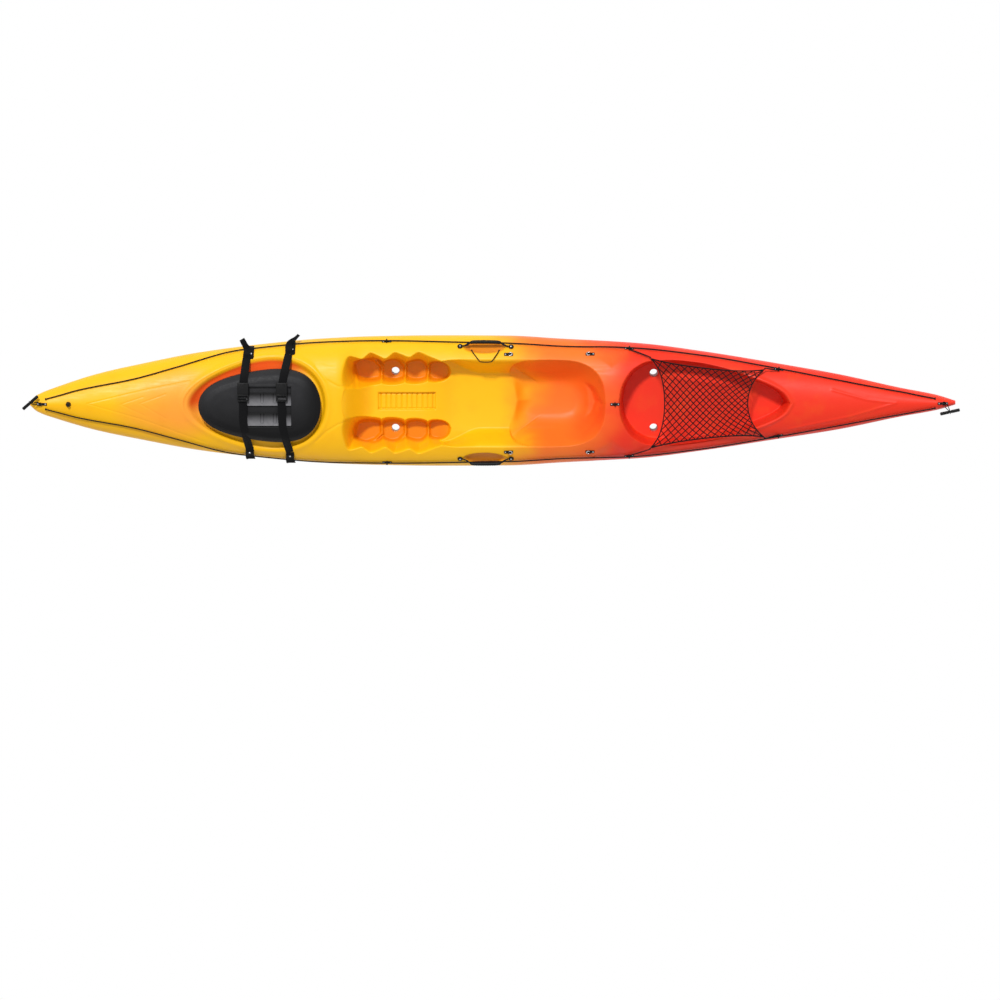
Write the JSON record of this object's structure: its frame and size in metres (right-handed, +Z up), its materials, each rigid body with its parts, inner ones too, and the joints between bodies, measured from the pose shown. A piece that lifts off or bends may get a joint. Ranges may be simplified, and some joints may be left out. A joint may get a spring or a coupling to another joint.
{
  "type": "sit-on-top touring kayak",
  "caption": "Long sit-on-top touring kayak with strapped bow hatch, stepped footwells, moulded seat, netted tank well, deck lines, carry handles and toggle grips.",
  "frame": {"origin": "middle of the hull's length, on the centre line, at the underside of the flat keel", "axes": "+X from bow to stern, +Y to starboard, +Z up"},
  "size_m": [4.5564, 0.6474, 0.3752],
  "materials": {
    "hull_shell": "satin rotomoulded polyethylene, yellow at the bow through orange to red-orange at the stern",
    "lid_plastic": "satin black",
    "fitting_plastic": "satin black moulding",
    "seal_rubber": "soft black rubber",
    "webbing": "black woven webbing",
    "cord": "black braided cord",
    "net_cord": "black knotted elastic net",
    "ring_steel": "bright stainless steel"
  },
  "bodies": {
    "hull": {"hull": "hull_shell", "hatch_seal": "seal_rubber", "bow_padeye": "fitting_plastic", "stern_padeye": "fitting_plastic", "centre_padeye": "fitting_plastic", "tank_net": "net_cord", "paddle_bungee": "cord", "deck_line_port": "cord", "line_padeye_port": "fitting_plastic", "net_padeye_front_port": "fitting_plastic", "net_tie_front_port": "cord", "seat_padeye_front_port": "fitting_plastic", "strap_anchor_front_port": "webbing", "handle_port_cap_front": "fitting_plastic", "net_padeye_rear_port": "fitting_plastic", "net_tie_rear_port": "cord", "seat_padeye_rear_port": "fitting_plastic", "strap_anchor_rear_port": "webbing", "handle_port_cap_rear": "fitting_plastic", "deck_line_starboard": "cord", "line_padeye_starboard": "fitting_plastic", "net_padeye_front_starboard": "fitting_plastic", "net_tie_front_starboard": "cord", "seat_padeye_front_starboard": "fitting_plastic", "strap_anchor_front_starboard": "webbing", "handle_starboard_cap_front": "fitting_plastic", "net_padeye_rear_starboard": "fitting_plastic", "net_tie_rear_starboard": "cord", "seat_padeye_rear_starboard": "fitting_plastic", "strap_anchor_rear_starboard": "webbing", "handle_starboard_cap_rear": "fitting_plastic"},
    "hatch_lid": {"hatch_lid": "lid_plastic"},
    "drain_bung": {"drain_bung": "fitting_plastic"},
    "bow_toggle": {"bow_toggle": "fitting_plastic", "bow_toggle_cord": "cord"},
    "stern_toggle": {"stern_toggle": "fitting_plastic", "stern_toggle_cord": "cord"},
    "strap_front_port": {"strap_front_port": "webbing", "buckle_tongue_front": "fitting_plastic"},
    "strap_front_starboard": {"strap_front_starboard": "webbing", "buckle_socket_front": "fitting_plastic"},
    "seat_ring_front_port": {"seat_ring_front_port": "ring_steel"},
    "seat_ring_front_starboard": {"seat_ring_front_starboard": "ring_steel"},
    "strap_rear_port": {"strap_rear_port": "webbing", "buckle_tongue_rear": "fitting_plastic"},
    "strap_rear_starboard": {"strap_rear_starboard": "webbing", "buckle_socket_rear": "fitting_plastic"},
    "seat_ring_rear_port": {"seat_ring_rear_port": "ring_steel"},
    "seat_ring_rear_starboard": {"seat_ring_rear_starboard": "ring_steel"},
    "handle_port": {"handle_port_webbing": "webbing", "handle_port_grip": "fitting_plastic"},
    "handle_starboard": {"handle_starboard_webbing": "webbing", "handle_starboard_grip": "fitting_plastic"}
  },
  "joints": [
    {"name": "hatch_lift", "type": "slide", "parent": "hull", "child": "hatch_lid", "axis": [0, 0, 1], "range_m": [0, 0.15]},
    {"name": "strap_front_port_swing", "type": "hinge", "parent": "hull", "child": "strap_front_port", "pos_m": [-1.211, -0.2259, 0.2642], "axis": [1, 0, 0], "range_deg": [0, 112]},
    {"name": "strap_front_starboard_swing", "type": "hinge", "parent": "hull", "child": "strap_front_starboard", "pos_m": [-1.211, 0.2259, 0.2642], "axis": [-1, 0, 0], "range_deg": [0, 132]},
    {"name": "strap_rear_port_swing", "type": "hinge", "parent": "hull", "child": "strap_rear_port", "pos_m": [-1.024, -0.2428, 0.2636], "axis": [1, 0, 0], "range_deg": [0, 112]},
    {"name": "strap_rear_starboard_swing", "type": "hinge", "parent": "hull", "child": "strap_rear_starboard", "pos_m": [-1.024, 0.2428, 0.2636], "axis": [-1, 0, 0], "range_deg": [0, 132]},
    {"name": "bow_toggle_swing", "type": "hinge", "parent": "hull", "child": "bow_toggle", "pos_m": [-2.19186, 0, 0.32497], "axis": [0, 1, 0], "range_deg": [0, 120]},
    {"name": "stern_toggle_swing", "type": "hinge", "parent": "hull", "child": "stern_toggle", "pos_m": [2.18708, 0, 0.28872], "axis": [0, -1, 0], "range_deg": [0, 100]},
    {"name": "handle_port_swing", "type": "hinge", "parent": "hull", "child": "handle_port", "pos_m": [-0.16012, -0.27759, 0.24676], "axis": [-0.9999, -0.0066, -0.0086], "range_deg": [0, 45]},
    {"name": "handle_starboard_swing", "type": "hinge", "parent": "hull", "child": "handle_starboard", "pos_m": [-0.1601, 0.27763, 0.24666], "axis": [0.9999, -0.0067, 0.009], "range_deg": [0, 45]},
    {"name": "bung_pull", "type": "slide", "parent": "hull", "child": "drain_bung", "axis": [0, 0, 1], "range_m": [0, 0.03]},
    {"name": "seat_ring_front_port_swing", "type": "hinge", "parent": "hull", "child": "seat_ring_front_port", "pos_m": [0.07612, -0.24142, 0.27482], "axis": [-0.0153, -0.8071, -0.5902], "range_deg": [0, 165]},
    {"name": "seat_ring_rear_port_swing", "type": "hinge", "parent": "hull", "child": "seat_ring_rear_port", "pos_m": [0.47204, -0.24159, 0.26244], "axis": [0.0052, 0.7848, 0.6197], "range_deg": [0, 165]},
    {"name": "seat_ring_front_starboard_swing", "type": "hinge", "parent": "hull", "child": "seat_ring_front_starboard", "pos_m": [0.07612, 0.24142, 0.27482], "axis": [0.0153, -0.8071, 0.5903], "range_deg": [0, 165]},
    {"name": "seat_ring_rear_starboard_swing", "type": "hinge", "parent": "hull", "child": "seat_ring_rear_starboard", "pos_m": [0.47197, 0.24171, 0.2619], "axis": [0.0036, 0.7892, -0.6142], "range_deg": [0, 165]}
  ],
  "couplings": [
    {"joint": "strap_front_port_swing", "follows": "hatch_lift", "rad_per_m": 12.8},
    {"joint": "strap_front_starboard_swing", "follows": "hatch_lift", "rad_per_m": 15.2},
    {"joint": "strap_rear_port_swing", "follows": "hatch_lift", "rad_per_m": 12.8},
    {"joint": "strap_rear_starboard_swing", "follows": "hatch_lift", "rad_per_m": 15.2}
  ]
}
